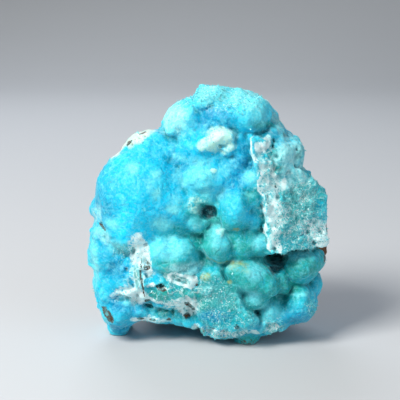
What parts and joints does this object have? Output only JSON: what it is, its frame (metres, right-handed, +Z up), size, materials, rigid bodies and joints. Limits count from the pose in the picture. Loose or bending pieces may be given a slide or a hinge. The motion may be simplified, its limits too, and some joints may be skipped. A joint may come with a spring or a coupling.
{
  "type": "hemimorphite mineral specimen",
  "caption": "Blue botryoidal hemimorphite crust with a broken slab and a druse bowl, grown on brown limonite, standing on its broken underside.",
  "frame": {"origin": "centre of the footprint box, on the surface the rock stands on", "axes": "+Z up as displayed, -Y out of the display face, +X to the viewer's right"},
  "size_m": [0.0621, 0.039, 0.0653],
  "materials": {
    "hemimorphite": "satin",
    "limonite": "matte"
  },
  "bodies": {
    "root": {"hemimorphite_crust": "hemimorphite", "limonite_matrix": "limonite"}
  },
  "joints": []
}
